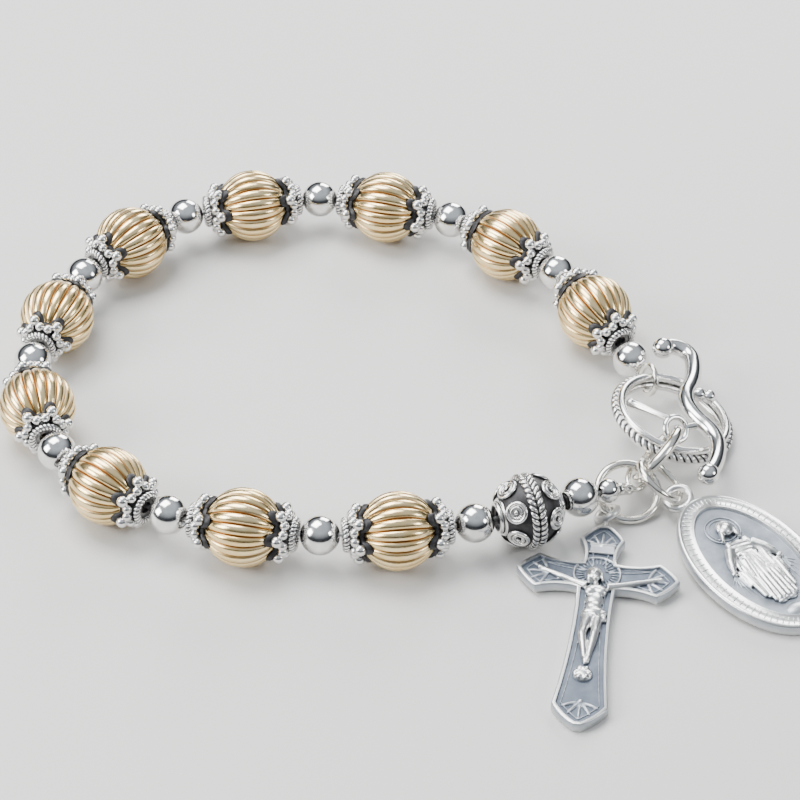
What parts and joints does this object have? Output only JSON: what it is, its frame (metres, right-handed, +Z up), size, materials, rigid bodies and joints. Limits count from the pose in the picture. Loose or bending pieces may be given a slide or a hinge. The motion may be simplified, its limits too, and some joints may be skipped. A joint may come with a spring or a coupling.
{
  "type": "rosary bracelet",
  "caption": "Bracelet of ribbed gold beads between granulated caps and silver beads, with a toggle clasp, a crucifix and an oval medal.",
  "frame": {"origin": "middle of the wrist opening, on the surface the bracelet lies on", "axes": "+Z up from the surface, +X towards the clasp, +Y towards the back of the picture"},
  "size_m": [0.0841, 0.0825, 0.008],
  "materials": {
    "gold": "polished gold with soft ribs, amber in the grooves",
    "silver_polished": "polished sterling silver",
    "silver_oxidised": "silver, black oxide in the hollows, bright on the high spots",
    "silver_satin": "cast silver, bright edges, blue-grey oxide in the recesses",
    "wire": "fine coated stringing wire"
  },
  "bodies": {
    "root": {"gold_bead_01": "gold", "gold_bead_02": "gold", "gold_bead_03": "gold", "gold_bead_04": "gold", "gold_bead_05": "gold", "gold_bead_06": "gold", "gold_bead_07": "gold", "gold_bead_08": "gold", "gold_bead_09": "gold", "gold_bead_10": "gold", "silver_bead_01": "silver_polished", "silver_bead_02": "silver_polished", "silver_bead_03": "silver_polished", "silver_bead_04": "silver_polished", "silver_bead_05": "silver_polished", "silver_bead_06": "silver_polished", "silver_bead_07": "silver_polished", "silver_bead_08": "silver_polished", "silver_bead_09": "silver_polished", "silver_bead_10": "silver_polished", "silver_bead_11": "silver_polished", "silver_bead_12": "silver_polished", "bead_cap_01": "silver_oxidised", "bead_cap_02": "silver_oxidised", "bead_cap_03": "silver_oxidised", "bead_cap_04": "silver_oxidised", "bead_cap_05": "silver_oxidised", "bead_cap_06": "silver_oxidised", "bead_cap_07": "silver_oxidised", "bead_cap_08": "silver_oxidised", "bead_cap_09": "silver_oxidised", "bead_cap_10": "silver_oxidised", "bead_cap_11": "silver_oxidised", "bead_cap_12": "silver_oxidised", "bead_cap_13": "silver_oxidised", "bead_cap_14": "silver_oxidised", "bead_cap_15": "silver_oxidised", "bead_cap_16": "silver_oxidised", "bead_cap_17": "silver_oxidised", "bead_cap_18": "silver_oxidised", "bead_cap_19": "silver_oxidised", "bead_cap_20": "silver_oxidised", "ornate_bead": "silver_oxidised", "small_bead": "silver_polished", "crimp_tube": "silver_polished", "thread": "wire", "end_loop_ring_side": "silver_polished", "end_loop_bar_side": "silver_polished", "toggle_ring": "silver_polished", "toggle_bar": "silver_polished", "big_link": "silver_polished", "crucifix_link": "silver_polished", "medal_link": "silver_polished", "crucifix": "silver_satin", "medal": "silver_satin"}
  },
  "joints": []
}
